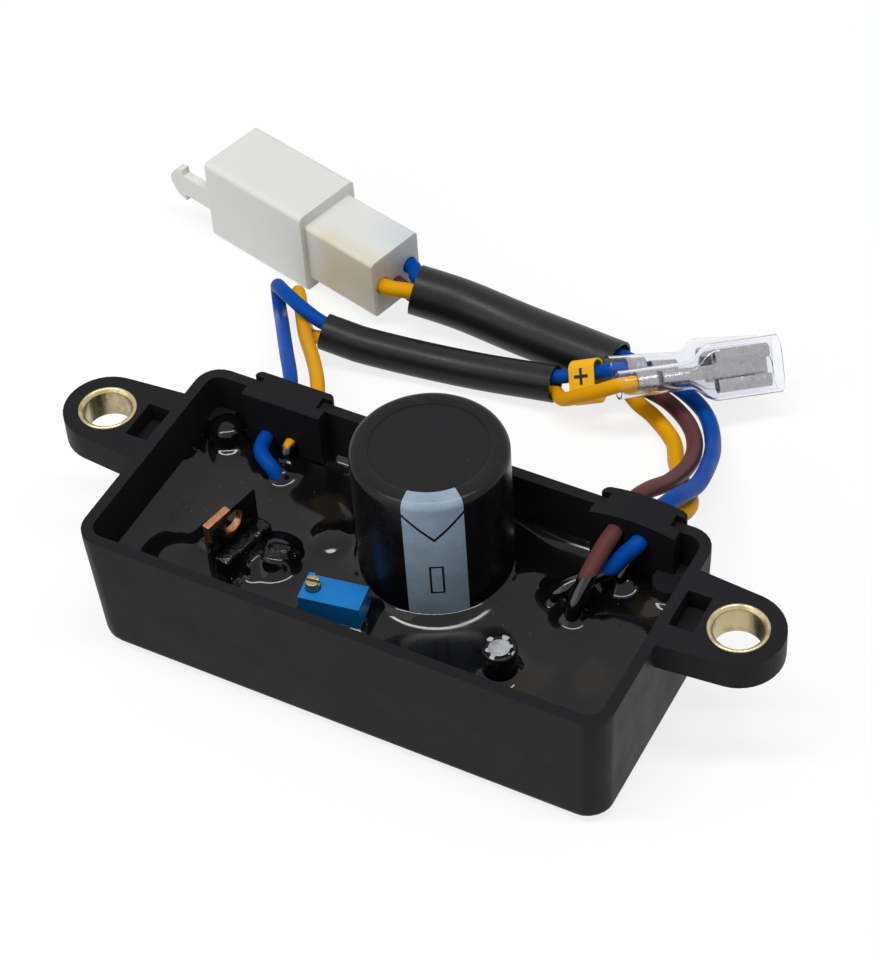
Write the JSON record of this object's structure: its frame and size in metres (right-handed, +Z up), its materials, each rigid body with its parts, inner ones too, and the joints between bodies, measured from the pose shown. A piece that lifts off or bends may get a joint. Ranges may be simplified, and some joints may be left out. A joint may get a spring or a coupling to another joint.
{
  "type": "automatic voltage regulator",
  "caption": "Potted rectangular tray with two eared bolt holes, an upright capacitor and two wire leads, regulating the field current of a small generator.",
  "frame": {"origin": "centre of the flat base of the housing", "axes": "+X along the tray from ear to ear, +Y towards the wall the leads pass through, +Z up out of the open top"},
  "size_m": [0.1425, 0.101, 0.0388],
  "materials": {
    "housing_plastic": "fine moulded texture, satin",
    "bushing_brass": "turned",
    "insert_rubber": "satin",
    "potting_resin": "poured, glossy",
    "board_laminate": "solder mask",
    "can_aluminium": "drawn",
    "capacitor_film": "shrunk film",
    "capacitor_disc": "matt",
    "seal_rubber": "matt",
    "tinned_pin": "tinned",
    "trimmer_plastic": "moulded",
    "screw_brass": "turned",
    "copper_tab": "stamped copper",
    "black_moulding": "moulded",
    "wire_blue": "extruded insulation",
    "wire_yellow": "extruded insulation",
    "wire_brown": "extruded insulation",
    "sleeve_plastic": "extruded tube",
    "marker_plastic": "extruded",
    "terminal_metal": "stamped and tinned",
    "cover_clear": "clear, soft",
    "connector_nylon": "milky, moulded",
    "tab_brass": "stamped"
  },
  "bodies": {
    "regulator": {"housing": "housing_plastic", "bushing_left": "bushing_brass", "bushing_right": "bushing_brass", "cable_insert_left": "insert_rubber", "cable_insert_right": "insert_rubber", "potting_resin": "potting_resin", "circuit_board": "board_laminate", "capacitor_can": "can_aluminium", "capacitor_sleeve": "capacitor_film", "capacitor_top_disc": "capacitor_disc", "capacitor_seal": "seal_rubber", "capacitor_pin_1": "tinned_pin", "capacitor_pin_2": "tinned_pin", "trimmer_body": "trimmer_plastic", "trimmer_pin_1": "tinned_pin", "trimmer_pin_2": "tinned_pin", "trimmer_pin_3": "tinned_pin", "small_capacitor_can": "can_aluminium", "small_capacitor_sleeve": "capacitor_film", "small_capacitor_pin_1": "tinned_pin", "small_capacitor_pin_2": "tinned_pin", "transistor_tab": "copper_tab", "transistor_body": "black_moulding", "transistor_lead_1": "tinned_pin", "transistor_lead_2": "tinned_pin", "transistor_lead_3": "tinned_pin", "coated_part": "black_moulding", "coated_part_lead_1": "tinned_pin", "coated_part_lead_2": "tinned_pin", "brush_wire_blue": "wire_blue", "brush_wire_yellow": "wire_yellow", "brush_lead_sleeve": "sleeve_plastic", "wire_marker": "marker_plastic", "brush_terminal_blue": "terminal_metal", "brush_terminal_yellow": "terminal_metal", "terminal_cover_blue": "cover_clear", "terminal_cover_yellow": "cover_clear", "winding_wire_brown": "wire_brown", "winding_wire_blue": "wire_blue", "winding_wire_yellow": "wire_yellow", "winding_lead_sleeve": "sleeve_plastic", "connector_housing": "connector_nylon", "connector_tab_1": "tab_brass", "connector_tab_2": "tab_brass", "connector_tab_3": "tab_brass"},
    "trimmer_adjuster": {"trimmer_screw": "screw_brass"}
  },
  "joints": [
    {"name": "trimmer_turn", "type": "hinge", "parent": "regulator", "child": "trimmer_adjuster", "pos_m": [-0.00833, -0.00991, 0.01843], "axis": [0, 0, 1], "continuous": true}
  ]
}
